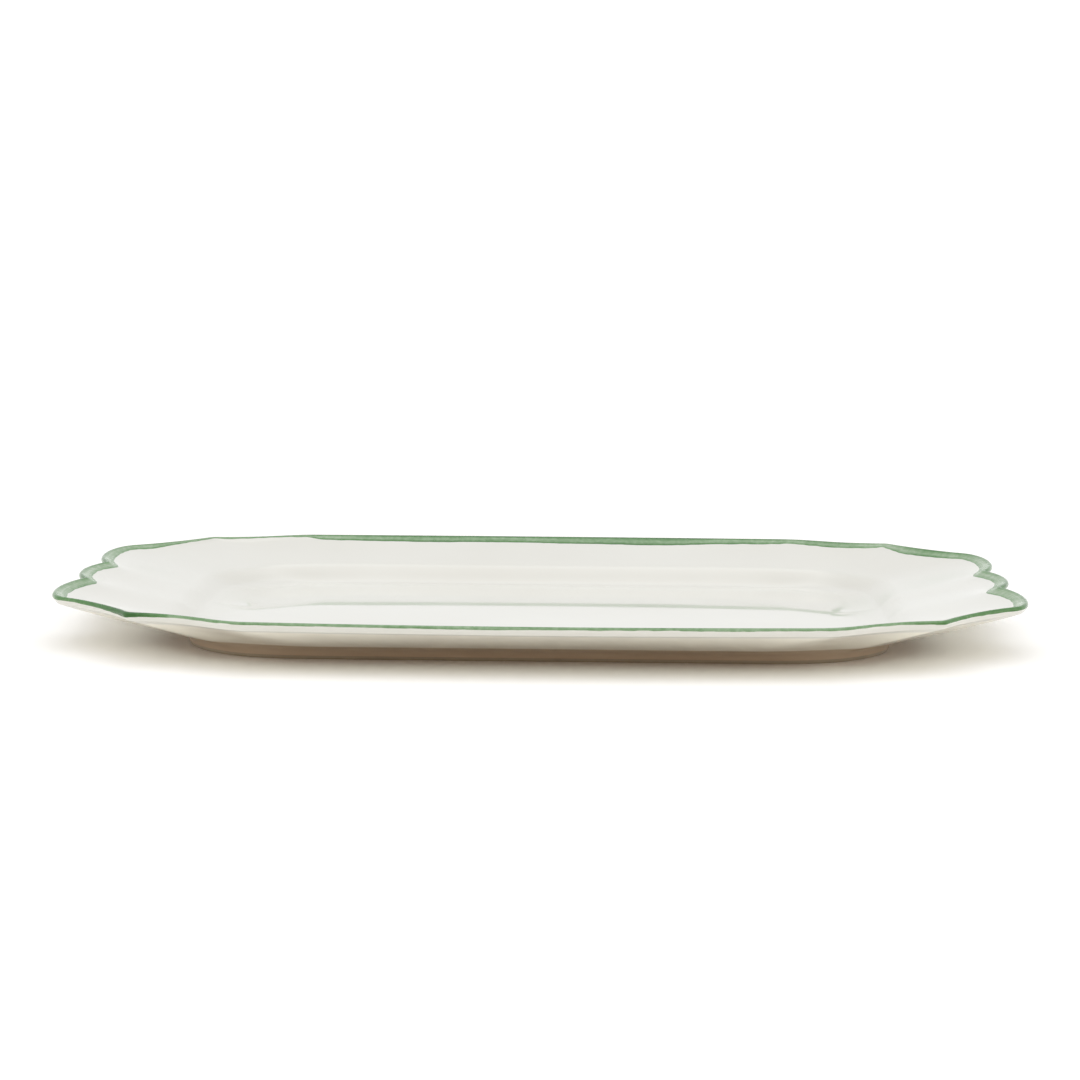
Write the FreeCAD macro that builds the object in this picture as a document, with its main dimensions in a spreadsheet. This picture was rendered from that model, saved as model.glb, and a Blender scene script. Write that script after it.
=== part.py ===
import FreeCAD, Part
import math
import os

import Sketcher

# China serving platter: a lobed dish on a foot ring, with its glaze coats and painted edge band.
# Frame: millimetres, +X along the platter, +Z up, origin on the table under the platter's middle.
# Every coat is swept from a profile in the (inset, height) plane. Inset is the distance in from the lip at
# the middle of a long side. It blends the lobed outline of the lip into the plain outline of the foot.

doc = FreeCAD.newDocument("platter")

# ---------------------------------------------------------------- driving dimensions
dims = doc.addObject("Spreadsheet::Sheet", "dims")
DIMENSIONS = [
    ("half_length", 203.0),
    ("half_width", 136.5),
    ("lip_height", 22.5),
    ("side_dip", 1.4),
    ("edge_height", 3.6),
    ("band_width", 5.6),
    ("floor_height", 4.0),
    ("floor_inset", 48.0),
    ("cavetto_inset", 35.0),
    ("cavetto_height", 12.2),
    ("wall_inset", 34.0),
    ("wall_height", 7.1),
    ("foot_half_length", 148.7),
    ("foot_half_width", 93.5),
    ("foot_corner_radius", 50.0),
    ("foot_height", 1.5),
    ("foot_step", 0.3),
    ("foot_ring_width", 4.5),
    ("foot_edge_radius", 0.6),
    ("glaze_thickness", 0.5),
]
for row, (alias, value) in enumerate(DIMENSIONS, start=1):
    dims.set(f"A{row}", alias)
    dims.set(f"B{row}", str(value))
    dims.setAlias(f"B{row}", alias)
doc.recompute()


def size(alias):
    """A driving dimension read back from the sheet."""
    return float(dims.get(alias))


def expression_value(expression):
    """The present value of an expression in the sheet's aliases."""
    value = dims.evalExpression(expression)
    return float(getattr(value, "Value", value))


# ---------------------------------------------------------------- outlines
# One quarter of an outline, from the middle of a long side round to the middle of an end, as the control
# points of cubic curves: side handle, shoulder, two handles, side cusp, two handles, knuckle, two handles,
# end cusp, end handle. The other three quarters mirror it.
LIP_QUARTER = [
    (0.189, 1.009),
    (0.567, 0.974),
    (0.635, 0.963),
    (0.670, 0.861),
    (0.803, 0.848),
    (0.823, 0.788),
    (0.906, 0.641),
    (0.958, 0.597),
    (1.007, 0.557),
    (1.017, 0.315),
    (0.969, 0.182),
    (1.010, 0.073),
]
# How much of the dip of the long sides each of those points takes.
LIP_DIP = [1.0, 0.75, 0.65, 0.5, 0.25, 0.15, 0.05, 0.0, 0.0, 0.0, 0.0, 0.0]

FOOT_QUARTER = [
    (0.180, 1.000),
    (0.540, 1.000),
    (0.655, 1.000),
    (0.762, 0.993),
    (0.832, 0.928),
    (0.892, 0.873),
    (0.939, 0.790),
    (0.968, 0.691),
    (0.989, 0.624),
    (1.000, 0.420),
    (1.000, 0.200),
    (1.000, 0.067),
]
SPANS = 16
POINTS_PER_SPAN = 3


def closed_outline(quarter, heights, half_length, half_width):
    """The full ring of control points, counter-clockwise, starting at the first end cusp below +X."""
    first = [
        FreeCAD.Vector(x * half_length, y * half_width, height)
        for (x, y), height in zip(quarter, heights)
    ]
    ring = []
    for mirror_x, mirror_y, backwards in ((1, 1, True), (-1, 1, False), (-1, -1, True), (1, -1, False)):
        points = [FreeCAD.Vector(p.x * mirror_x, p.y * mirror_y, p.z) for p in first]
        ring += reversed(points) if backwards else points
    return ring[1:] + ring[:1]


dips = [-size("side_dip") * share for share in LIP_DIP]
lip_outline = closed_outline(LIP_QUARTER, dips, size("half_length"), size("half_width"))
foot_outline = closed_outline(
    FOOT_QUARTER, [0.0] * len(FOOT_QUARTER), size("foot_half_length"), size("foot_half_width")
)
FOOT_INSET = size("half_width") - size("foot_half_width")


def ring_point(index, inset, height):
    """One control point of the outline at an inset and height.

    Near the lip the inset is a true distance all the way round, so the band and the edge keep their width.
    Near the foot it is a share of the way in, so that every point reaches the foot's outline together.
    The dip fades out towards the foot.
    """
    outer = lip_outline[index % len(lip_outline)]
    inner = foot_outline[index % len(foot_outline)]
    rim_width = FreeCAD.Vector(outer.x - inner.x, outer.y - inner.y, 0).Length
    plain_share = inset / FOOT_INSET
    share = plain_share * (plain_share + (1.0 - plain_share) * FOOT_INSET / rim_width)
    point = outer * (1.0 - share) + inner * share
    point.z = height + outer.z * max(0.0, 1.0 - share)
    return point


# ---------------------------------------------------------------- profiles
def offset_walk(walk, distance):
    """The walk moved to its left by a distance. The china lies on the left of both walks below."""
    offset = []
    for index, (inset, height) in enumerate(walk):
        before = walk[max(index - 1, 0)]
        after = walk[min(index + 1, len(walk) - 1)]
        along = FreeCAD.Vector(after[0] - before[0], after[1] - before[1], 0)
        along.normalize()
        offset.append((inset - along.y * distance, height + along.x * distance))
    return offset


def moved(point, step):
    """A profile point moved by a step in inset and height."""
    return (point[0] + step[0], point[1] + step[1])


glaze = size("glaze_thickness")
lip = (0.0, size("lip_height"))
lip_inside = moved(lip, (glaze, -glaze))
# The painted band lies on the rim, whose slope is straight there.
LIP_SLOPE = 0.345
band_edge = moved(lip, (size("band_width"), -LIP_SLOPE * size("band_width")))
band_third = (size("band_width") / 3.0, -LIP_SLOPE * size("band_width") / 3.0)
cavetto_top = (size("cavetto_inset"), size("cavetto_height"))
floor_edge = (size("floor_inset"), size("floor_height"))
EDGE_SLANT = 1.0
edge_bottom = moved(lip, (EDGE_SLANT, -size("edge_height")))
wall_top = (size("wall_inset"), size("wall_height"))
foot_top = (FOOT_INSET, size("foot_height"))

# The handles of the curves, as steps from the profile points that they belong to.
FLOOR_HANDLE = (-5.5, 0.0)
CAVETTO_LOWER_HANDLE = (5.5, -1.5)
CAVETTO_UPPER_HANDLE = (-10.0, 2.7)
RIM_HANDLE = (8.0, -2.5)
LIP_HANDLE = (0.0, -0.9)
EDGE_HANDLE = (-EDGE_SLANT, 0.8)
UNDERSIDE_OUTER_HANDLE = (7.0, -2.2)
UNDERSIDE_INNER_HANDLE = (-10.0, 3.7)
WALL_HANDLE = (3.6, -1.33)
FOOT_HANDLE = (0.0, 3.0)

# Both walks are chains of cubic curves that share their end points.
# The upper face, walked outwards: cavetto, rim, painted band.
upper_walk = [
    floor_edge,
    moved(floor_edge, FLOOR_HANDLE),
    moved(cavetto_top, CAVETTO_LOWER_HANDLE),
    cavetto_top,
    moved(cavetto_top, CAVETTO_UPPER_HANDLE),
    moved(band_edge, RIM_HANDLE),
    band_edge,
    moved(moved(lip, band_third), band_third),
    moved(lip, band_third),
    lip,
]
# The outside face, walked inwards: edge, underside of the rim, wall down to the foot.
outer_walk = [
    lip,
    moved(lip, LIP_HANDLE),
    moved(edge_bottom, EDGE_HANDLE),
    edge_bottom,
    moved(edge_bottom, UNDERSIDE_OUTER_HANDLE),
    moved(wall_top, UNDERSIDE_INNER_HANDLE),
    wall_top,
    moved(wall_top, WALL_HANDLE),
    moved(foot_top, FOOT_HANDLE),
    foot_top,
]
upper_inside = offset_walk(upper_walk, glaze)[:-1] + [lip_inside]
outer_inside = [lip_inside] + offset_walk(outer_walk, glaze)[1:-1] + [(foot_top[0] + glaze, foot_top[1])]
# Where the painted band starts in the upper walk.
BAND_START = 6


# ---------------------------------------------------------------- swept faces and solids
def patch(profile, span):
    """The face that one curve of a profile sweeps along one span of the outline."""
    surface = Part.BezierSurface()
    surface.increase(POINTS_PER_SPAN, len(profile) - 1)
    for step in range(POINTS_PER_SPAN + 1):
        for level, (inset, height) in enumerate(profile):
            point = ring_point(span * POINTS_PER_SPAN + step, inset, height)
            surface.setPole(step + 1, level + 1, point)
    return surface.toShape()


def swept(walk):
    """The faces of a chain of cubic curves, all the way round."""
    faces = []
    for start in range(0, len(walk) - 1, 3):
        faces += [patch(walk[start : start + 4], span) for span in range(SPANS)]
    return faces


def strip(first, last):
    """The narrow ruled faces between two profile points, all the way round."""
    return [patch([first, last], span) for span in range(SPANS)]


def disc(inset, height):
    """The flat face inside the outline at one inset and height."""
    edges = []
    for span in range(SPANS):
        curve = Part.BezierCurve()
        first = span * POINTS_PER_SPAN
        curve.setPoles([ring_point(first + step, inset, height) for step in range(POINTS_PER_SPAN + 1)])
        edges.append(curve.toShape())
    return Part.Face(Part.Wire(edges))


def closed_solid(faces):
    """One solid from faces that meet edge to edge."""
    shell = Part.Shell(faces)
    shell.sewShape()
    solid = Part.Solid(shell)
    if solid.Volume < 0:
        solid.reverse()
    return solid


def coat(name, faces):
    """A sub-part swept round the outline."""
    feature = doc.addObject("Part::Feature", name)
    feature.Label = name
    feature.Shape = closed_solid(faces)
    feature.Placement = FreeCAD.Placement()
    return feature


coat(
    "china_body",
    [disc(*upper_inside[0])] + swept(upper_inside) + swept(outer_inside) + [disc(*outer_inside[-1])],
)
coat(
    "top_glaze",
    [disc(*upper_walk[0])]
    + swept(upper_walk[: BAND_START + 1])
    + strip(upper_walk[BAND_START], upper_inside[BAND_START])
    + swept(upper_inside[: BAND_START + 1])
    + [disc(*upper_inside[0])],
)
coat(
    "green_edge_band",
    swept(upper_walk[BAND_START:])
    + strip(lip, lip_inside)
    + swept(upper_inside[BAND_START:])
    + strip(upper_walk[BAND_START], upper_inside[BAND_START]),
)
coat(
    "outside_glaze",
    strip(lip, lip_inside) + swept(outer_walk) + swept(outer_inside) + strip(foot_top, outer_inside[-1]),
)


# ---------------------------------------------------------------- foot ring and base glaze
def origin_plane(body, role):
    """One of the body's own origin planes."""
    return next(item for item in body.Origin.OriginFeatures if item.Role == role)


def rounded_rectangle(sketch, name, half_length, half_width, radius):
    """A centred rounded rectangle of four lines and four arcs. Its sizes are expressions."""
    reach_x, reach_y, corner = (expression_value(text) for text in (half_length, half_width, radius))
    flat_x = reach_x - corner
    flat_y = reach_y - corner
    sides = [
        ((flat_x, -reach_y), (-flat_x, -reach_y)),
        ((-reach_x, -flat_y), (-reach_x, flat_y)),
        ((-flat_x, reach_y), (flat_x, reach_y)),
        ((reach_x, flat_y), (reach_x, -flat_y)),
    ]
    corners = [(-flat_x, -flat_y, 180), (-flat_x, flat_y, 90), (flat_x, flat_y, 0), (flat_x, -flat_y, 270)]
    lines = [
        sketch.addGeometry(Part.LineSegment(FreeCAD.Vector(*start, 0), FreeCAD.Vector(*end, 0)))
        for start, end in sides
    ]
    arcs = []
    for centre_x, centre_y, start_degrees in corners:
        circle = Part.Circle(FreeCAD.Vector(centre_x, centre_y, 0), FreeCAD.Vector(0, 0, 1), corner)
        start = math.radians(start_degrees)
        arcs.append(sketch.addGeometry(Part.ArcOfCircle(circle, start, start + math.radians(90))))
    start_point, end_point = 1, 2
    for index, line in enumerate(lines):
        sketch.addConstraint(Sketcher.Constraint("Horizontal" if index % 2 == 0 else "Vertical", line))
        arc = arcs[index]
        following = lines[(index + 1) % len(lines)]
        sketch.addConstraint(Sketcher.Constraint("Tangent", line, end_point, arc, end_point))
        sketch.addConstraint(Sketcher.Constraint("Tangent", arc, start_point, following, start_point))
    for arc in arcs[1:]:
        sketch.addConstraint(Sketcher.Constraint("Equal", arcs[0], arc))
    sized = [
        ("radius", Sketcher.Constraint("Radius", arcs[0], corner), radius),
        ("right", Sketcher.Constraint("DistanceX", -1, 1, lines[3], 1, reach_x), half_length),
        ("left", Sketcher.Constraint("DistanceX", lines[1], 1, -1, 1, reach_x), half_length),
        ("back", Sketcher.Constraint("DistanceY", -1, 1, lines[2], 1, reach_y), half_width),
        ("front", Sketcher.Constraint("DistanceY", lines[0], 1, -1, 1, reach_y), half_width),
    ]
    for part_name, constraint, expression in sized:
        index = sketch.addConstraint(constraint)
        sketch.renameConstraint(index, f"{name}_{part_name}")
        sketch.setExpression(f"Constraints.{name}_{part_name}", expression)


def flat_body(name):
    """An empty body with one sketch on its own XY plane."""
    body = doc.addObject("PartDesign::Body", f"{name}_body")
    body.Label = name
    sketch = body.newObject("Sketcher::SketchObject", f"{name}_outline")
    sketch.AttachmentSupport = [(origin_plane(body, "XY_Plane"), "")]
    sketch.MapMode = "FlatFace"
    return body, sketch


def foot_outline_sizes(inset):
    """Half length, half width and corner radius of the foot's outline, moved in by an expression."""
    return (
        f"<<dims>>.foot_half_length - ({inset})",
        f"<<dims>>.foot_half_width - ({inset})",
        f"<<dims>>.foot_corner_radius - ({inset})",
    )


OUTER_STEP = "<<dims>>.foot_step"
INNER_STEP = "<<dims>>.foot_step + <<dims>>.foot_ring_width"

ring_body, ring_sketch = flat_body("foot_ring")
rounded_rectangle(ring_sketch, "outer", *foot_outline_sizes(OUTER_STEP))
rounded_rectangle(ring_sketch, "inner", *foot_outline_sizes(INNER_STEP))
ring_pad = ring_body.newObject("PartDesign::Pad", "foot_ring_pad")
ring_pad.Profile = ring_sketch
ring_pad.setExpression("Length", "<<dims>>.foot_height")
doc.recompute()
bottom_edges = [
    f"Edge{index}"
    for index, edge in enumerate(ring_pad.Shape.Edges, start=1)
    if edge.BoundBox.ZMax < size("foot_edge_radius")
]
ring_fillet = ring_body.newObject("PartDesign::Fillet", "foot_ring_fillet")
ring_fillet.Base = (ring_pad, bottom_edges)
ring_fillet.setExpression("Radius", "<<dims>>.foot_edge_radius")

base_body, base_sketch = flat_body("base_glaze")
base_sketch.setExpression("AttachmentOffset.Base.z", "<<dims>>.foot_height - <<dims>>.glaze_thickness")
rounded_rectangle(base_sketch, "coat", *foot_outline_sizes(INNER_STEP))
base_pad = base_body.newObject("PartDesign::Pad", "base_glaze_pad")
base_pad.Profile = base_sketch
base_pad.setExpression("Length", "<<dims>>.glaze_thickness")
doc.recompute()

# ---------------------------------------------------------------- checks and export
SUB_PARTS = ["china_body", "foot_ring", "top_glaze", "outside_glaze", "base_glaze", "green_edge_band"]
for item in doc.Objects:
    if "Invalid" in item.State or "Error" in item.State:
        raise RuntimeError(f"{item.Name} is {item.State}")

os.makedirs("parts", exist_ok=True)
for label in SUB_PARTS:
    shape = doc.getObjectsByLabel(label)[0].Shape
    if shape.isNull() or not shape.isValid() or not shape.Solids:
        raise RuntimeError(f"{label} has no valid solid")
    shape.exportStep(f"parts/{label}.step")
    box = shape.BoundBox
    print(f"{label}: {shape.Volume / 1000.0:.2f} cm3, solids {len(shape.Solids)}, closed {shape.isClosed()}")
    for axis in "XYZ":
        print(f"    {axis} {getattr(box, axis + 'Min'):.2f} to {getattr(box, axis + 'Max'):.2f}")
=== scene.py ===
import math

import bpy
import numpy as np
from mathutils import Matrix, Vector


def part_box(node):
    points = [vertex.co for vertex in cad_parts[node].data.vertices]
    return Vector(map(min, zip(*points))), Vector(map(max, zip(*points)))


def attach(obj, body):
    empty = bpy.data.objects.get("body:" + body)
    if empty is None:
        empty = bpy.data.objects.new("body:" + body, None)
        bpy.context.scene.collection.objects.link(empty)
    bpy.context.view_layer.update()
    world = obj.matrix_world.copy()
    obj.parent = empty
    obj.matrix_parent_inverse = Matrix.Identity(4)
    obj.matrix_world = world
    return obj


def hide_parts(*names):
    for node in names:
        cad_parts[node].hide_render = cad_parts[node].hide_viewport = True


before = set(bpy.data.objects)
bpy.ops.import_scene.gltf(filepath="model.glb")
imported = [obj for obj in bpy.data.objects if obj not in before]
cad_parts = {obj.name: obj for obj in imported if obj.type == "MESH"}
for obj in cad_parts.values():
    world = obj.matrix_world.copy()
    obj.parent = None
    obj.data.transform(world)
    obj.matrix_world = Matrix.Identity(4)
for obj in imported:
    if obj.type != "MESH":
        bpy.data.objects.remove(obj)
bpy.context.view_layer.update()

# ---------------------------------------------------------------- sizes, in millimetres, from the frame
MM = 0.001


def node_box(name):
    """Lowest and highest corner of a CAD node, in millimetres."""
    low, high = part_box(name)
    return low / MM, high / MM


outside_high = node_box("outside_glaze")[1]
ring_high = node_box("foot_ring")[1]
base_low, base_high = node_box("base_glaze")
top_low = node_box("top_glaze")[0]

HALF_LENGTH = outside_high.x
HALF_WIDTH = outside_high.y
LIP_HEIGHT = outside_high.z
GLAZE = base_high.z - base_low.z
FLOOR_HEIGHT = top_low.z + GLAZE
FOOT_HEIGHT = ring_high.z
BASE_HEIGHT = base_low.z
# How far the foot ring stands in from the outside wall, and how far the long sides dip below the corners.
FOOT_STEP = 0.3
SIDE_DIP = 1.4
FOOT_HALF_LENGTH = ring_high.x + FOOT_STEP
FOOT_HALF_WIDTH = ring_high.y + FOOT_STEP
FOOT_INSET = HALF_WIDTH - FOOT_HALF_WIDTH
RING_WIDTH = ring_high.x - base_high.x

# ---------------------------------------------------------------- outlines
# A quarter of each outline, from the middle of a long side round to the middle of an end, as control
# points of cubic curves: side handle, shoulder, two handles, side cusp, two handles, knuckle, two handles,
# end cusp, end handle. They are shares of the half length and half width.
LIP_QUARTER = [
    (0.189, 1.009),
    (0.567, 0.974),
    (0.635, 0.963),
    (0.670, 0.861),
    (0.803, 0.848),
    (0.823, 0.788),
    (0.906, 0.641),
    (0.958, 0.597),
    (1.007, 0.557),
    (1.017, 0.315),
    (0.969, 0.182),
    (1.010, 0.073),
]
LIP_DIP = [1.0, 0.75, 0.65, 0.5, 0.25, 0.15, 0.05, 0.0, 0.0, 0.0, 0.0, 0.0]
FOOT_QUARTER = [
    (0.180, 1.000),
    (0.540, 1.000),
    (0.655, 1.000),
    (0.762, 0.993),
    (0.832, 0.928),
    (0.892, 0.873),
    (0.939, 0.790),
    (0.968, 0.691),
    (0.989, 0.624),
    (1.000, 0.420),
    (1.000, 0.200),
    (1.000, 0.067),
]
SPANS = 16
# Steps along each span of the outlines.
STEPS = 80
# Mesh columns along each kind of span, in order from the end cusp above +X: lower corner, upper corner,
# shoulder, long side, and so on round half of the outline.
HALF_COLUMNS = [28, 24, 24, 40, 24, 24, 28, 24]
COLUMNS = HALF_COLUMNS * 2
# Points of the evenly spaced outline on which the creases are softened.
FINE = 3000


def control_ring(quarter, heights, half_length, half_width):
    """All the control points, counter-clockwise from the end cusp above +X."""
    first = [(x * half_length, y * half_width, z) for (x, y), z in zip(quarter, heights)]
    ring = []
    for mirror_x, mirror_y, backwards in ((1, 1, True), (-1, 1, False), (-1, -1, True), (1, -1, False)):
        points = [(x * mirror_x, y * mirror_y, z) for x, y, z in first]
        ring += points[::-1] if backwards else points
    return np.array(ring[1:] + ring[:1])


def along_ring(ring, steps):
    """Points along the cubic curves of a control ring, with the same number of steps in each span."""
    share = np.linspace(0.0, 1.0, steps, endpoint=False)[:, None]
    points = []
    for span in range(SPANS):
        a, b, c, d = (ring[(3 * span + offset) % len(ring)] for offset in range(4))
        rest = 1.0 - share
        points.append(a * rest**3 + 3 * b * rest**2 * share + 3 * c * rest * share**2 + d * share**3)
    return np.concatenate(points)


lip_heights = [-SIDE_DIP * share for share in LIP_DIP]
foot_heights = [0.0] * len(FOOT_QUARTER)
lip_points = along_ring(control_ring(LIP_QUARTER, lip_heights, HALF_LENGTH, HALF_WIDTH), STEPS)
foot_points = along_ring(control_ring(FOOT_QUARTER, foot_heights, FOOT_HALF_LENGTH, FOOT_HALF_WIDTH), STEPS)


def close(points):
    """The points with the first one repeated at the end."""
    return np.concatenate([points, points[:1]])


# Distance walked along the lip to each of its points, and to each of the evenly spaced ones.
walked = np.concatenate([[0.0], np.cumsum(np.linalg.norm(np.diff(close(lip_points), axis=0), axis=1))])
OUTLINE_LENGTH = walked[-1]
even_steps = np.linspace(0.0, OUTLINE_LENGTH, FINE + 1)


def at(points, steps, places):
    """Points of a ring at distances along the lip, given the distance of each of its own points."""
    ring = close(points)
    places = np.mod(places, OUTLINE_LENGTH)
    return np.stack([np.interp(places, steps, ring[:, axis]) for axis in range(3)], axis=1)


even_places = np.arange(FINE) * OUTLINE_LENGTH / FINE
lip_even = at(lip_points, walked, even_places)
foot_even = at(foot_points, walked, even_places)
rim_width = np.linalg.norm((foot_even - lip_even)[:, :2], axis=1)[:, None]
# Unit directions that point into the foot's outline.
foot_along = np.roll(foot_even, -1, axis=0) - np.roll(foot_even, 1, axis=0)
foot_inwards = np.stack([-foot_along[:, 1], foot_along[:, 0], np.zeros(FINE)], axis=1)
foot_inwards /= np.linalg.norm(foot_inwards, axis=1)[:, None]
# Nought along the sides of the foot's outline, rising to one over its ends. The floor of the well meets the
# cavetto that much further in there, times the ease.
END_START = 0.7
END_EASE = 2.0
end_share = np.abs(foot_even[:, :1]) / FOOT_HALF_LENGTH
endness = np.clip((end_share - END_START) / (1.0 - END_START), 0.0, 1.0) ** 2

# Columns crowd together at the ends of each span, where the outline turns.
CROWDING = 0.7


def column_places():
    """Distance along the lip of each mesh column, starting in the middle of the upper right corner."""
    places = []
    for span, count in enumerate(COLUMNS):
        start = walked[span * STEPS]
        end = walked[(span + 1) * STEPS]
        share = np.arange(count) / count
        eased = 0.5 - 0.5 * np.cos(np.pi * share)
        places.append(start + (end - start) * (CROWDING * eased + (1.0 - CROWDING) * share))
    corner = HALF_COLUMNS[0] + HALF_COLUMNS[1] // 2
    places = np.concatenate(places)
    return np.concatenate([places[corner:], places[:corner] + OUTLINE_LENGTH])


places = column_places()
SIDE_COLUMNS = HALF_COLUMNS[1] // 2 + sum(HALF_COLUMNS[2:5]) + HALF_COLUMNS[5] // 2
END_COLUMNS = len(places) // 2 - SIDE_COLUMNS

# The lobes' creases are this soft at the lip, in millimetres. Inside the crest they soften by these shares
# of the inset, on the upper and on the outer side.
LIP_SOFTNESS = 1.2
UPPER_FLUTE = 1.0
OUTER_FLUTE = 0.2
CREST_INSET = 1.35


def ring_at(inset, height, flute, end_ease=0.0):
    """The ring of points at one inset and height of the profile.

    The creases of the lobes are soft at the lip and melt away towards the foot. Inside the foot's outline a
    ring keeps its distance from it, or the ease carries it further in at the platter's ends than along its
    sides.
    """
    plain_share = inset / FOOT_INSET
    if plain_share > 1.0 and not end_ease:
        ring = foot_even + foot_inwards * (inset - FOOT_INSET)
    else:
        share = plain_share * (plain_share + (1.0 - plain_share) * FOOT_INSET / rim_width)
        if share.max() > 1.0:
            share = 1.0 + (share - 1.0) * (1.0 + end_ease * endness)
        ring = lip_even + (foot_even - lip_even) * share
    ring[:, 2] = height + lip_even[:, 2] * max(0.0, 1.0 - plain_share)
    softness = LIP_SOFTNESS + flute * max(0.0, inset - CREST_INSET) * max(0.0, 1.0 - plain_share)
    turns = np.arange(FINE // 2 + 1)[:, None]
    fade = np.exp(-2.0 * (math.pi * turns * softness / OUTLINE_LENGTH) ** 2)
    soft = np.fft.irfft(np.fft.rfft(ring, axis=0) * fade, n=FINE, axis=0)
    return at(soft, even_steps, places)


# ---------------------------------------------------------------- profiles
def cubic(a, b, c, d, count):
    """Points of a cubic curve, without its last one."""
    share = np.linspace(0.0, 1.0, count, endpoint=False)[:, None]
    rest = 1.0 - share
    a, b, c, d = (np.array(point, float) for point in (a, b, c, d))
    return a * rest**3 + 3 * b * rest**2 * share + 3 * c * rest * share**2 + d * share**3


# The profile stays this far inside the CAD surface, so that the rounding never passes it.
MARGIN = 0.1
LIP_SLOPE = 0.345
BAND_WIDTH = 5.6
# The corners of the profile, as (inset from the lip, height) in millimetres.
lip_top = LIP_HEIGHT - MARGIN
floor_edge = (48.0, FLOOR_HEIGHT)
cavetto_top = (35.0, LIP_HEIGHT - 10.3)
band_edge = (BAND_WIDTH, LIP_HEIGHT - LIP_SLOPE * BAND_WIDTH - MARGIN)
crest = (CREST_INSET, lip_top)
edge_top = (MARGIN, lip_top - 1.3)
edge_low = (0.95, lip_top - 2.9)
under_start = (2.3, lip_top - 3.75)
wall_top = (34.0, LIP_HEIGHT - 15.4)
foot_top = (FOOT_INSET, FOOT_HEIGHT)
# The two handles of the curve between each corner and the next. The brow rounds over from the crest to the
# edge, and the chin turns from the edge to the underside.
cavetto_handles = (42.5, FLOOR_HEIGHT), (40.5, cavetto_top[1] - 1.5)
rim_handles = (25.0, cavetto_top[1] + 2.7), (13.6, band_edge[1] - 2.5)
lip_handles = (4.0, band_edge[1] + 0.6), (2.4, lip_top)
brow_handles = (0.6, lip_top), (MARGIN, lip_top - 0.6)
edge_handles = (MARGIN, lip_top - 1.8), (0.65, lip_top - 2.4)
chin_handles = (1.2, lip_top - 3.35), (1.6, lip_top - 3.55)
under_handles = (8.0, under_start[1] - 2.1), (24.0, wall_top[1] + 3.7)
wall_handles = (37.6, wall_top[1] - 1.33), (FOOT_INSET, FOOT_HEIGHT + 3.0)

# The last number of each curve is how many rings of the mesh it gets.
upper_walk = np.concatenate(
    [
        cubic(floor_edge, *cavetto_handles, cavetto_top, 18),
        cubic(cavetto_top, *rim_handles, band_edge, 20),
        cubic(band_edge, *lip_handles, crest, 10),
        [crest],
    ]
)
outer_walk = np.concatenate(
    [
        cubic(crest, *brow_handles, edge_top, 9),
        cubic(edge_top, *edge_handles, edge_low, 5),
        cubic(edge_low, *chin_handles, under_start, 7),
        cubic(under_start, *under_handles, wall_top, 22),
        cubic(wall_top, *wall_handles, foot_top, 16),
        [foot_top],
    ]
)


def inner_side(walk):
    """The walk moved into the china by the thickness of the glaze."""
    along = np.gradient(walk, axis=0)
    along /= np.linalg.norm(along, axis=1)[:, None]
    return walk + np.stack([-along[:, 1], along[:, 0]], axis=1) * GLAZE


upper_inside = inner_side(upper_walk)
outer_inside = inner_side(outer_walk)
outer_inside[0] = upper_inside[-1]
outer_inside[-1] = (foot_top[0] + GLAZE, foot_top[1])


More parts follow.
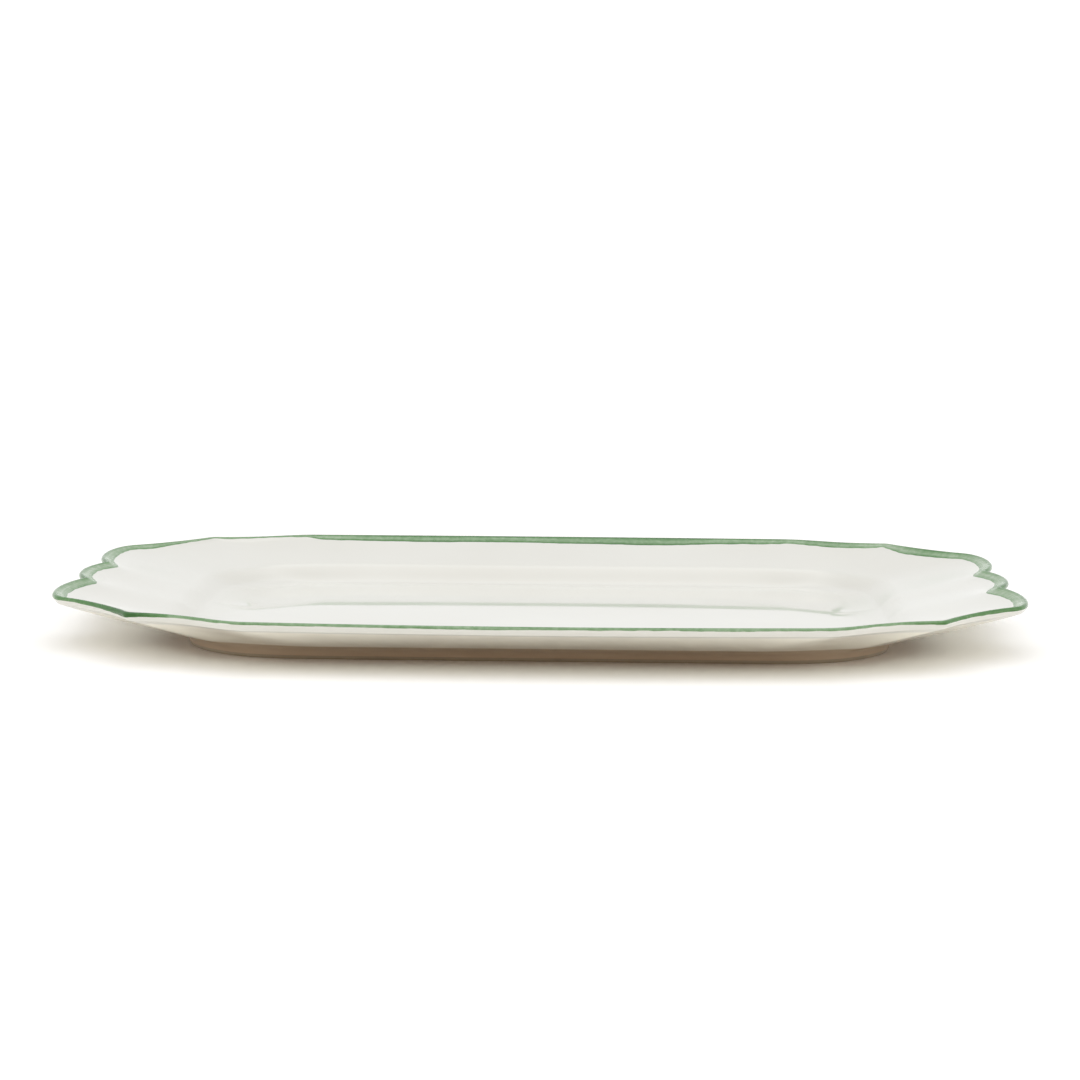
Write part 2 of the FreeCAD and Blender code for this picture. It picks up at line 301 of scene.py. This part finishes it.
# ---------------------------------------------------------------- meshes
class Builder:
    """Gathers rings of points and the faces between them, then makes one mesh object."""

    def __init__(self):
        self.points = []
        self.faces = []

    def ring(self, points):
        """Adds a ring and returns the indices of its points."""
        first = len(self.points)
        self.points += [tuple(point) for point in points]
        return list(range(first, len(self.points)))

    def bridge(self, lower, upper):
        """Quads between two rings of the same length."""
        count = len(lower)
        for index in range(count):
            following = (index + 1) % count
            self.faces.append((lower[index], lower[following], upper[following], upper[index]))

    def sweep(self, walk, flute=OUTER_FLUTE, end_ease=0.0):
        """Rings along a profile walk, bridged in order. Returns the list of rings."""
        rings = [self.ring(ring_at(inset, height, flute, end_ease)) for inset, height in walk]
        for lower, upper in zip(rings, rings[1:]):
            self.bridge(lower, upper)
        return rings

    def fill(self, ring, height, upwards):
        """A grid of quads inside a ring that starts at its upper right corner."""
        edge = [np.array(self.points[index]) for index in ring]
        across, up = SIDE_COLUMNS, END_COLUMNS
        top = ring[: across + 1]
        left = ring[across : across + up + 1]
        bottom = ring[across + up : 2 * across + up + 1]
        right = ring[2 * across + up :] + ring[:1]
        grid = {}
        for column in range(across + 1):
            grid[column, 0] = top[column]
            grid[column, up] = bottom[across - column]
        for row in range(up + 1):
            grid[across, row] = left[row]
            grid[0, row] = right[up - row]
        start = ring[0]
        for column in range(1, across):
            x_share = column / across
            for row in range(1, up):
                y_share = row / up
                side_mix = (
                    (1 - y_share) * edge[grid[column, 0] - start]
                    + y_share * edge[grid[column, up] - start]
                    + (1 - x_share) * edge[grid[0, row] - start]
                    + x_share * edge[grid[across, row] - start]
                )
                corner_mix = (
                    (1 - x_share) * (1 - y_share) * edge[grid[0, 0] - start]
                    + x_share * (1 - y_share) * edge[grid[across, 0] - start]
                    + (1 - x_share) * y_share * edge[grid[0, up] - start]
                    + x_share * y_share * edge[grid[across, up] - start]
                )
                point = side_mix - corner_mix
                grid[column, row] = len(self.points)
                self.points.append((point[0], point[1], height))
        for column in range(across):
            for row in range(up):
                quad = (
                    grid[column, row],
                    grid[column + 1, row],
                    grid[column + 1, row + 1],
                    grid[column, row + 1],
                )
                self.faces.append(quad if upwards else quad[::-1])

    def build(self, name, material, sharp_degrees=40.0):
        """The mesh object, in metres, smooth shaded but for its sharp edges, with outward faces."""
        mesh = bpy.data.meshes.new(name)
        mesh.from_pydata([tuple(value * MM for value in point) for point in self.points], [], self.faces)
        mesh.validate()
        piece = bpy.data.objects.new(name, mesh)
        bpy.context.scene.collection.objects.link(piece)
        bpy.context.view_layer.objects.active = piece
        piece.select_set(True)
        bpy.ops.object.mode_set(mode="EDIT")
        bpy.ops.mesh.select_all(action="SELECT")
        bpy.ops.mesh.normals_make_consistent(inside=False)
        bpy.ops.object.mode_set(mode="OBJECT")
        bpy.ops.object.shade_smooth_by_angle(angle=math.radians(sharp_degrees))
        piece.select_set(False)
        mesh.materials.append(material)
        return piece


# ---------------------------------------------------------------- materials
def linear(red, green, blue):
    """A display colour from 0 to 255 as the linear colour that shaders take."""
    values = [channel / 255.0 for channel in (red, green, blue)]
    return [v / 12.92 if v <= 0.04045 else ((v + 0.055) / 1.055) ** 2.4 for v in values] + [1.0]


def fill_ramp(node, stops):
    """Gives a colour ramp node its stops, each a position and a colour."""
    elements = node.color_ramp.elements
    while len(elements) < len(stops):
        elements.new(0.5)
    for element, (position, color) in zip(elements, stops):
        element.position = position
        element.color = color


# Sockets of the mix node when it blends colours.
MIX_FACTOR, MIX_FIRST, MIX_SECOND, MIX_RESULT = 0, 6, 7, 2


class Shader:
    """A node material under construction."""

    def __init__(self, name):
        self.material = bpy.data.materials.new(name)
        self.material.use_nodes = True
        self.tree = self.material.node_tree
        self.surface = self.tree.nodes["Principled BSDF"]
        self.place = self.add("ShaderNodeTexCoord").outputs["Object"]

    def add(self, kind, **settings):
        node = self.tree.nodes.new(kind)
        for key, value in settings.items():
            setattr(node, key, value)
        return node

    def link(self, source, target):
        self.tree.links.new(source, target)

    def set(self, **values):
        """Sets the shader's own sockets, with spaces written as underscores."""
        for key, value in values.items():
            self.surface.inputs[key.replace("_", " ")].default_value = value

    def stretched(self, vector, along, across):
        """A flat vector scaled differently along and across the stroke."""
        node = self.add("ShaderNodeMapping")
        node.inputs["Scale"].default_value = (along, across, 1.0)
        self.link(vector, node.inputs["Vector"])
        return node.outputs["Vector"]

    def noise(self, scale, detail=2.0, roughness=0.5, vector=None):
        node = self.add("ShaderNodeTexNoise")
        node.inputs["Scale"].default_value = scale
        node.inputs["Detail"].default_value = detail
        node.inputs["Roughness"].default_value = roughness
        self.link(vector or self.place, node.inputs["Vector"])
        return node.outputs["Fac"]

    def remap(self, value, from_low, from_high, to_low, to_high):
        node = self.add("ShaderNodeMapRange")
        for socket, number in zip(node.inputs[1:5], (from_low, from_high, to_low, to_high)):
            socket.default_value = number
        self.link(value, node.inputs["Value"])
        return node.outputs["Result"]

    def ramp(self, value, stops):
        node = self.add("ShaderNodeValToRGB")
        fill_ramp(node, stops)
        self.link(value, node.inputs["Fac"])
        return node.outputs["Color"]

    def mix(self, factor, tone, other):
        """The tone, blended with another constant colour as the factor rises to one."""
        node = self.add("ShaderNodeMix", data_type="RGBA")
        self.link(factor, node.inputs[MIX_FACTOR])
        self.link(tone, node.inputs[MIX_FIRST])
        node.inputs[MIX_SECOND].default_value = other
        return node.outputs[MIX_RESULT]

    def math(self, operation, first, second):
        node = self.add("ShaderNodeMath", operation=operation)
        for socket, value in zip(node.inputs, (first, second)):
            if isinstance(value, (int, float)):
                socket.default_value = value
            else:
                self.link(value, socket)
        return node.outputs["Value"]

    def bump(self, height, distance, before=None):
        node = self.add("ShaderNodeBump")
        node.inputs["Distance"].default_value = distance
        self.link(height, node.inputs["Height"])
        if before is not None:
            self.link(before, node.inputs["Normal"])
        return node.outputs["Normal"]


def glaze_material(name, tones, gloss, roughness, roughness_above=None, painted_wall_and_foot_shade=None, painted_edge_shade=None):
    """Clear glaze over white china: glossy, faintly warm, with the slow ripple of poured glaze.

    The glaze lies smoothest where it levelled in the well. The wall and foot take a creamier, darker tone:
    painted shade where the rim shades them. The edge takes a darker, whiter tone than the underside: painted
    shade too.
    """
    shader = Shader(name)
    shader.set(IOR=1.5, Specular_IOR_Level=gloss)
    place = shader.add("ShaderNodeSeparateXYZ")
    shader.link(shader.place, place.inputs["Vector"])
    height = place.outputs["Z"]
    tone = shader.ramp(shader.noise(9.0, 3.0), [(0.3, tones[0]), (0.7, tones[1])])
    # Painted shade: below the top of the wall the glaze turns creamier and darker, where the rim shades the
    # wall and foot.
    if painted_wall_and_foot_shade is not None:
        low, high = (wall_top[1] - 0.7) * MM, (wall_top[1] + 0.2) * MM
        below = shader.remap(height, low, high, 1.0, 0.0)
        tone = shader.mix(below, tone, painted_wall_and_foot_shade)
    # Painted shade: above the underside the edge takes a darker, whiter tone than the underside below it.
    if painted_edge_shade is not None:
        edge_height = under_start[1] - SIDE_DIP
        low, high = (edge_height - 0.8) * MM, (edge_height + 0.2) * MM
        above = shader.remap(height, low, high, 0.0, 1.0)
        tone = shader.mix(above, tone, painted_edge_shade)
    shader.link(tone, shader.surface.inputs["Base Color"])
    rough = shader.remap(shader.noise(60.0, 2.0), 0.3, 0.7, *roughness)
    if roughness_above is not None:
        low, high = (FLOOR_HEIGHT + 0.1) * MM, (FLOOR_HEIGHT + 0.7) * MM
        slope = shader.remap(height, low, high, 0.0, roughness_above)
        rough = shader.math("ADD", rough, slope)
    shader.link(rough, shader.surface.inputs["Roughness"])
    ripple = shader.bump(shader.noise(16.0, 1.0), 0.00002)
    peel = shader.bump(shader.noise(420.0, 2.0), 0.000001, ripple)
    shader.link(peel, shader.surface.inputs["Normal"])
    return shader.material


def bare_china_material(name, color):
    """Unglazed fired china: matt and very finely grained."""
    shader = Shader(name)
    shader.set(IOR=1.45)
    darker = [channel * 0.9 for channel in color[:3]] + [1.0]
    tone = shader.ramp(shader.noise(140.0, 4.0), [(0.3, darker), (0.7, color)])
    shader.link(tone, shader.surface.inputs["Base Color"])
    shader.link(shader.remap(shader.noise(300.0), 0.3, 0.7, 0.55, 0.75), shader.surface.inputs["Roughness"])
    shader.link(shader.bump(shader.noise(1800.0, 3.0), 0.00003), shader.surface.inputs["Normal"])
    return shader.material


def enamel_material():
    """Green enamel brushed on by hand: streaks along the stroke, thin and pale at its edges."""
    shader = Shader("green_enamel")
    shader.set(IOR=1.5)
    uv = shader.add("ShaderNodeUVMap", uv_map="stroke").outputs["UV"]
    # Waves per metre along the stroke and across it.
    streak = shader.noise(1.0, 3.0, 0.6, shader.stretched(uv, 26.0, 1500.0))
    load = shader.noise(1.0, 2.0, 0.5, shader.stretched(uv, 22.0, 60.0))
    blotch = shader.noise(420.0, 3.0)
    paint = shader.add("ShaderNodeAttribute", attribute_name="paint").outputs["Fac"]
    density = shader.math("ADD", shader.math("MULTIPLY", streak, 0.5), shader.math("MULTIPLY", load, 0.35))
    density = shader.math("ADD", density, shader.math("MULTIPLY", blotch, 0.45))
    density = shader.math("ADD", density, paint)
    # The three noises add up to about this much on average.
    density = shader.math("SUBTRACT", density, 0.62)
    tone = shader.ramp(
        density,
        [
            (0.0, linear(190, 200, 184)),
            (0.35, linear(134, 162, 126)),
            (0.65, linear(82, 127, 72)),
            (1.0, linear(47, 96, 39)),
        ],
    )
    shader.link(tone, shader.surface.inputs["Base Color"])
    shader.link(shader.remap(blotch, 0.3, 0.7, 0.10, 0.28), shader.surface.inputs["Roughness"])
    ridges = shader.bump(streak, 0.0001)
    shader.link(shader.bump(blotch, 0.00004, ridges), shader.surface.inputs["Normal"])
    return shader.material


glaze = glaze_material(
    "white_glaze",
    (linear(217, 216, 209), linear(222, 222, 216)),
    gloss=0.5,
    roughness=(0.025, 0.05),
    roughness_above=0.13,
)
# The outside coat is the same glaze as the upper face with its tones painted much lighter: painted light on
# the underside of the rim. Its edge tone and its wall and foot tone are painted shade.
thin_glaze_and_painted_light = glaze_material(
    "thin_outside_glaze_painted_light",
    (linear(247, 244, 230), linear(250, 248, 234)),
    gloss=0.28,
    roughness=(0.12, 0.22),
    painted_wall_and_foot_shade=linear(216, 198, 175),
    painted_edge_shade=linear(225, 225, 218),
)
enamel = enamel_material()
body_china = bare_china_material("fired_china", linear(224, 221, 212))
# The bare foot is the same fired china as the body, painted darker and browner: painted shade where the
# platter stands on the floor.
foot_china_painted_shade = bare_china_material("bare_foot", linear(190, 180, 160))

# ---------------------------------------------------------------- pieces
def finish_piece(piece, node):
    """The piece rides on the platter and stands for its CAD node, which it hides."""
    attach(piece, "root")
    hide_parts(node)
    return piece


def make_upper_glaze():
    """Well floor, cavetto and rim up to the crest of the lip."""
    builder = Builder()
    outside = builder.sweep(upper_walk, UPPER_FLUTE, END_EASE)
    inside = builder.sweep(upper_inside, UPPER_FLUTE, END_EASE)
    builder.bridge(outside[-1], inside[-1])
    builder.fill(outside[0], FLOOR_HEIGHT, upwards=True)
    builder.fill(inside[0], FLOOR_HEIGHT - GLAZE, upwards=False)
    return finish_piece(builder.build("glazed_upper_face", glaze), "top_glaze")


def make_outside_glaze():
    """Edge, underside of the rim and wall down to the foot."""
    builder = Builder()
    outside = builder.sweep(outer_walk)
    inside = builder.sweep(outer_inside)
    builder.bridge(outside[0], inside[0])
    builder.bridge(outside[-1], inside[-1])
    return finish_piece(builder.build("glazed_outside_face", thin_glaze_and_painted_light), "outside_glaze")


def make_body():
    """The fired china between the coats."""
    builder = Builder()
    upper = builder.sweep(upper_inside, UPPER_FLUTE, END_EASE)
    outer = builder.sweep(outer_inside[1:])
    builder.bridge(upper[-1], outer[0])
    builder.fill(upper[0], FLOOR_HEIGHT - GLAZE, upwards=True)
    builder.fill(outer[-1], FOOT_HEIGHT, upwards=False)
    return finish_piece(builder.build("fired_china_body", body_china), "china_body")


FOOT_ROUNDING = 0.6
FILLET_WIDTH = 1.2
FILLET_HEIGHT = 0.35
# One less the cosine and one less the sine, through a quarter turn in steps of 15 degrees.
QUARTER_TURN = [(1.0 - math.cos(math.radians(d)), 1.0 - math.sin(math.radians(d))) for d in range(0, 91, 15)]


def make_foot_ring():
    """The dry ring that the platter stands on, rounded at its rubbed bottom edges."""
    outer = FOOT_INSET + FOOT_STEP
    inner = outer + RING_WIDTH
    walk = [(outer, FOOT_HEIGHT)]
    walk += [(outer + FOOT_ROUNDING * rise, FOOT_ROUNDING * fall) for rise, fall in QUARTER_TURN]
    walk += [(inner - FOOT_ROUNDING * fall, FOOT_ROUNDING * rise) for rise, fall in QUARTER_TURN]
    walk.append((inner, FOOT_HEIGHT))
    builder = Builder()
    rings = builder.sweep(walk)
    builder.bridge(rings[-1], rings[0])
    return finish_piece(builder.build("bare_foot_ring", foot_china_painted_shade), "foot_ring")


def make_base_glaze():
    """The glazed base inside the foot ring, with a small fillet of glaze at its rim."""
    inset = FOOT_INSET + FOOT_STEP + RING_WIDTH
    walk = [(inset, FOOT_HEIGHT)]
    for rise, fall in QUARTER_TURN:
        walk.append((inset + FILLET_WIDTH * rise, BASE_HEIGHT - FILLET_HEIGHT * fall))
    builder = Builder()
    rings = builder.sweep(walk)
    builder.fill(rings[0], FOOT_HEIGHT, upwards=True)
    builder.fill(rings[-1], BASE_HEIGHT, upwards=False)
    return finish_piece(builder.build("glazed_base", glaze), "base_glaze")


# Width of the painted band in from the crest, and how dense its paint is, which also sets how far it comes
# down
# over the edge: densest along the back, palest along the front. Places round the outline are counted in
# spans from the end cusp above +X: 2 and 5 are the cusps of the back side, 3 and 4 its shoulders, 7 and 8
# the cusps of the -X end, 11 and 12 the shoulders of the front side.
BRUSH_STROKES = [
    (0.0, 5.0, 0.62),
    (1.0, 5.0, 0.70),
    (1.3, 5.8, 0.90),
    (1.6, 6.0, 0.75),
    (2.0, 3.6, 0.60),
    (2.5, 4.5, 0.90),
    (2.95, 4.0, 0.65),
    (3.08, 4.6, 0.95),
    (3.17, 6.3, 1.00),
    (3.3, 7.2, 1.00),
    (3.5, 6.6, 0.95),
    (3.8, 5.6, 0.95),
    (3.96, 4.6, 0.95),
    (4.1, 2.4, 0.90),
    (4.4, 1.7, 0.90),
    (4.7, 1.5, 0.85),
    (5.0, 1.6, 0.80),
    (5.4, 2.2, 0.65),
    (6.0, 3.6, 0.65),
    (6.4, 4.6, 0.68),
    (7.0, 4.8, 0.75),
    (8.0, 4.8, 0.66),
    (9.0, 5.0, 0.55),
    (9.6, 4.8, 0.70),
    (9.95, 5.4, 1.00),
    (10.15, 4.8, 0.70),
    (10.4, 4.4, 0.42),
    (11.0, 4.4, 0.40),
    (12.0, 4.4, 0.38),
    (12.6, 4.4, 0.38),
    (13.0, 4.6, 0.58),
    (14.0, 4.8, 0.58),
    (14.6, 5.0, 0.60),
    (15.0, 5.2, 0.75),
    (16.0, 5.0, 0.62),
]
# Columns of the band to each column of the glaze, rows across it, and how many rings of the glaze it may
# reach on the upper and on the outer side.
BAND_COLUMNS_PER_COLUMN = 3
BAND_ROWS = 26
UPPER_REACH = 26
OUTER_REACH = 18
# How far the paint comes down over the edge with a light brush and with a loaded one.
LIGHT_DROP = 1.1
LOADED_DROP = 3.1
# The enamel stands this high on the glaze and roots this deep in it. Its edges thin out over a share of the
# width and sink a little, and its colour fades over the feather.
ENAMEL_HEIGHT = 0.06
ENAMEL_ROOT = 0.10
ENAMEL_SINK = 0.01
THINNING = 0.18
FEATHER = 0.35
# Paint in the middle of the stroke, and the extra that pools at its two edges. The darker edges are pooled
# paint;
# the paler middle is partly a painted highlight along the rounded lip.
MIDDLE_PAINT = 0.42
POOLED_PAINT = 0.70
# How the hand wavers, in slow waves and in fine ones: as a share of the width, then in millimetres.
SLOW_WIDTH_WAVER = 0.05
FINE_WIDTH_WAVER = 0.10
SLOW_DROP_WAVER = 0.14
FINE_DROP_WAVER = 0.07
# Columns to each side within which the brush feels the outline, and over which its reach is evened out.
NEARBY_COLUMNS = 60
EVENING_COLUMNS = 12
EVENING_SPREAD = 4.5


def wobble(share, seed, slowest, fastest):
    """A smooth repeating wobble around zero along the outline, about one unit high."""
    random = np.random.default_rng(seed)
    total = np.zeros_like(share)
    for turns in range(slowest, fastest):
        total += random.normal() * np.sin(2 * np.pi * (turns * share + random.random())) / math.sqrt(turns)
    return total / math.sqrt(sum(1.0 / turns for turns in range(slowest, fastest)))


def reach_factor(table, distance, width):
    """How much further the brush reaches along the rim's own direction to stay at its width.

    The brush follows the outline, so between lobes its inner edge rounds off the cusp.
    """
    crest_row = int(np.argmin(np.abs(distance)))
    outline = table[crest_row, :, :2]
    inner = table[crest_row:, :, :2]
    count = len(outline)
    reach = np.zeros(count)
    offsets = np.arange(-NEARBY_COLUMNS, NEARBY_COLUMNS + 1)
    for column in range(count):
        near = outline[(column + offsets) % count]
        gap = np.linalg.norm(inner[:, column, None] - near[None], axis=2).min(axis=1)
        reach[column] = np.interp(width[column], np.maximum.accumulate(gap), distance[crest_row:])
    factor = reach / width
    spread = np.arange(-EVENING_COLUMNS, EVENING_COLUMNS + 1) / EVENING_SPREAD
    kernel = np.exp(-0.5 * spread**2)
    padded = np.concatenate([factor[-EVENING_COLUMNS:], factor, factor[:EVENING_COLUMNS]])
    return np.convolve(padded, kernel / kernel.sum(), mode="valid")


def lip_table():
    """Points of the lip by row and column, and each row's distance from the crest.

    Inwards is positive and down the outside negative. The points lie on the facets of the glaze.
    """
    inwards = upper_walk[::-1][:UPPER_REACH]
    outwards = outer_walk[:OUTER_REACH]
    walk = np.concatenate([outwards[:0:-1], inwards])
    step = np.linalg.norm(np.diff(walk, axis=0), axis=1)
    distance = np.concatenate([[0.0], np.cumsum(step)])
    distance -= distance[len(outwards) - 1]
    outer_rings = [ring_at(inset, height, OUTER_FLUTE) for inset, height in outwards[:0:-1]]
    upper_rings = [ring_at(inset, height, UPPER_FLUTE) for inset, height in inwards]
    table = np.stack(outer_rings + upper_rings)
    before = np.repeat(table, BAND_COLUMNS_PER_COLUMN, axis=1)
    after = np.repeat(np.roll(table, -1, axis=1), BAND_COLUMNS_PER_COLUMN, axis=1)
    part_way = np.tile(np.arange(BAND_COLUMNS_PER_COLUMN) / BAND_COLUMNS_PER_COLUMN, len(places))
    return before + (after - before) * part_way[None, :, None], distance


def brush_strokes(where):
    """Width, load and drop of the painted stroke at each place, before the brush rounds off the cusps."""
    share = (where - where[0]) / OUTLINE_LENGTH
    spans = np.interp(np.mod(where, OUTLINE_LENGTH), walked[::STEPS], np.arange(SPANS + 1))
    known_spans, known_widths, known_loads = zip(*BRUSH_STROKES)
    width = np.interp(spans, known_spans, known_widths)
    load = np.interp(spans, known_spans, known_loads)
    width = width * (1.0 + SLOW_WIDTH_WAVER * wobble(share, 3, 9, 40))
    width = width + FINE_WIDTH_WAVER * wobble(share, 4, 60, 240)
    drop = LIGHT_DROP + (LOADED_DROP - LIGHT_DROP) * load
    drop = drop + SLOW_DROP_WAVER * wobble(share, 5, 6, 30) + FINE_DROP_WAVER * wobble(share, 6, 60, 200)
    return width, load, drop


def points_at(table, distance, reach):
    """One point of each column of the table, at the column's own distance from the crest."""
    return np.array(
        [
            [np.interp(reach[column], distance, table[:, column, axis]) for axis in range(3)]
            for column in range(len(reach))
        ]
    )


def paint_on(piece, reach, width, load, drop):
    """Stores how thick the paint lies at each point, for the enamel's colour."""
    to_edge = np.minimum(reach + drop, width - reach)
    # Pooled paint darkens both edges of the stroke; the paler middle between them is partly a painted
    # highlight.
    pooled = np.abs(2.0 * np.clip(reach / width, 0.0, 1.0) - 1.0) ** 2
    thickness = np.clip(to_edge / FEATHER, 0.0, 1.0) * (MIDDLE_PAINT + POOLED_PAINT * pooled) * load
    paint = piece.data.attributes.new("paint", "FLOAT", "POINT")
    paint.data.foreach_set("value", np.tile(thickness.ravel(), 2).astype(np.float32))


def map_stroke(piece, where, reach):
    """A UV map in metres along the stroke and across it, for the brush's streaks."""
    along = np.tile(where - where[0], BAND_ROWS) * MM
    across = reach.ravel() * MM
    uv_points = np.stack([np.tile(along, 2), np.tile(across, 2)], axis=1)
    corner_points = np.zeros(len(piece.data.loops), np.int32)
    piece.data.loops.foreach_get("vertex_index", corner_points)
    stroke = piece.data.uv_layers.new(name="stroke")
    stroke.data.foreach_set("uv", uv_points[corner_points].astype(np.float32).ravel())


def make_band():
    """The painted band: a thin skin of enamel that follows the lip, with a brushed, uneven edge."""
    closed_places = np.append(places, places[0] + OUTLINE_LENGTH)
    index = np.arange(len(places) * BAND_COLUMNS_PER_COLUMN) / BAND_COLUMNS_PER_COLUMN
    where = np.interp(index, np.arange(len(closed_places)), closed_places)
    table, distance = lip_table()
    width, load, drop = brush_strokes(where)
    width = width * reach_factor(table, distance, width)

    across = np.linspace(0.0, 1.0, BAND_ROWS)
    reach = np.stack([-drop + (drop + width) * part for part in across])
    surface = np.stack([points_at(table, distance, row) for row in reach])
    along = np.roll(surface, -1, axis=1) - np.roll(surface, 1, axis=1)
    normal = np.cross(along, np.gradient(surface, axis=0))
    normal /= np.linalg.norm(normal, axis=2)[:, :, None]
    swell = np.sqrt(np.clip(np.minimum(across, 1.0 - across) / THINNING, 0.0, 1.0))[:, None, None]
    top = surface + normal * (ENAMEL_HEIGHT * swell - ENAMEL_SINK)
    under = surface - normal * ENAMEL_ROOT

    builder = Builder()
    upper = [builder.ring(row) for row in top]
    lower = [builder.ring(row) for row in under]
    for rings in (upper, lower):
        for first, second in zip(rings, rings[1:]):
            builder.bridge(first, second)
    builder.bridge(upper[0], lower[0])
    builder.bridge(upper[-1], lower[-1])
    piece = builder.build("green_enamel_band", enamel)
    paint_on(piece, reach, width, load, drop)
    map_stroke(piece, where, reach)
    return finish_piece(piece, "green_edge_band")


make_upper_glaze()
make_outside_glaze()
make_body()
make_foot_ring()
make_base_glaze()
make_band()

# ---------------------------------------------------------------- stage, light and camera, in metres
FLOOR_HALF_SIZE = 40.0


def make_floor():
    """A plain pale floor that runs to the horizon."""
    shader = Shader("pale_floor")
    shader.set(Base_Color=(0.98, 0.97, 0.955, 1.0), Roughness=0.8, Specular_IOR_Level=0.1)
    half = FLOOR_HALF_SIZE
    corners = [(-half, -half, 0.0), (half, -half, 0.0), (half, half, 0.0), (-half, half, 0.0)]
    mesh = bpy.data.meshes.new("floor")
    mesh.from_pydata(corners, [], [(0, 1, 2, 3)])
    mesh.materials.append(shader.material)
    floor = bpy.data.objects.new("floor", mesh)
    bpy.context.scene.collection.objects.link(floor)


# The brightest that a stop of the tables below may be.
WORLD_STRENGTH = 2.0
# Brightness of the studio by the sine of the elevation, ahead of the camera and behind it. The white
# horizon gives way to a softer wall, and the light comes mostly from above; low behind the camera it is dim
# and warm, as in a room.
AHEAD_OF_CAMERA = [
    (0.00, (1.20, 1.20, 1.20)),
    (0.075, (1.20, 1.20, 1.20)),
    (0.12, (0.96, 0.96, 0.95)),
    (0.45, (0.75, 0.75, 0.75)),
    (0.72, (0.62, 0.62, 0.62)),
    (0.90, (1.62, 1.63, 1.65)),
]
BEHIND_CAMERA = [
    (0.00, (0.20, 0.09, 0.03)),
    (0.14, (0.34, 0.19, 0.09)),
    (0.30, (0.62, 0.58, 0.53)),
    (0.45, (0.92, 0.91, 0.90)),
    (0.70, (1.20, 1.20, 1.21)),
    (0.90, (1.62, 1.63, 1.65)),
]
# The share of the direction that points ahead over which the one gives way to the other.
AHEAD_BLEND = (-0.35, 0.45)


def make_world():
    """Soft studio light from all round, brightest overhead."""
    world = bpy.data.worlds.new("studio")
    world.use_nodes = True
    tree = world.node_tree
    direction = tree.nodes.new("ShaderNodeTexCoord")
    parts = tree.nodes.new("ShaderNodeSeparateXYZ")
    tree.links.new(direction.outputs["Generated"], parts.inputs["Vector"])
    mix = tree.nodes.new("ShaderNodeMix")
    mix.data_type = "RGBA"
    for stops, socket in ((BEHIND_CAMERA, MIX_FIRST), (AHEAD_OF_CAMERA, MIX_SECOND)):
        ramp = tree.nodes.new("ShaderNodeValToRGB")
        dimmed = [[value / WORLD_STRENGTH for value in color] + [1.0] for _, color in stops]
        fill_ramp(ramp, [(position, color) for (position, _), color in zip(stops, dimmed)])
        tree.links.new(parts.outputs["Z"], ramp.inputs["Fac"])
        tree.links.new(ramp.outputs["Color"], mix.inputs[socket])
    ahead = tree.nodes.new("ShaderNodeMapRange")
    ahead.interpolation_type = "SMOOTHSTEP"
    ahead.inputs["From Min"].default_value, ahead.inputs["From Max"].default_value = AHEAD_BLEND
    tree.links.new(parts.outputs["Y"], ahead.inputs["Value"])
    tree.links.new(ahead.outputs["Result"], mix.inputs[MIX_FACTOR])
    background = tree.nodes["Background"]
    background.inputs["Strength"].default_value = WORLD_STRENGTH
    tree.links.new(mix.outputs[MIX_RESULT], background.inputs["Color"])
    bpy.context.scene.world = world


def make_softbox(name, place, size, power):
    """A large soft light that faces the platter."""
    data = bpy.data.lights.new(name, "AREA")
    data.shape = "RECTANGLE"
    data.size, data.size_y = size
    data.energy = power
    light = bpy.data.objects.new(name, data)
    light.location = place
    light.rotation_euler = (-Vector(place)).to_track_quat("-Z", "Y").to_euler()
    bpy.context.scene.collection.objects.link(light)


CAMERA_PLACE = (0.0312, -1.170, 0.1925)
CAMERA_HEADING = 1.58
CAMERA_PITCH_DOWN = 7.55
CAMERA_ROLL = 0.36


def make_camera():
    """Just above the rim, a little to the right of the middle, from well back."""
    data = bpy.data.cameras.new("camera")
    data.sensor_width = 36.0
    data.lens = 90.0
    data.clip_end = 200.0
    camera = bpy.data.objects.new("camera", data)
    place = Matrix.Translation(CAMERA_PLACE)
    heading = Matrix.Rotation(math.radians(CAMERA_HEADING), 4, "Z")
    tilt = Matrix.Rotation(math.radians(90.0 - CAMERA_PITCH_DOWN), 4, "X")
    roll = Matrix.Rotation(math.radians(CAMERA_ROLL), 4, "Z")
    camera.matrix_world = place @ heading @ tilt @ roll
    bpy.context.scene.collection.objects.link(camera)
    bpy.context.scene.camera = camera


make_floor()
make_world()
for side, name in ((-1.0, "left_softbox"), (1.0, "right_softbox")):
    make_softbox(name, (side * 1.5, -0.5, 0.50), (1.2, 0.8), 3.0)
make_camera()
bpy.context.scene.view_settings.view_transform = "Standard"
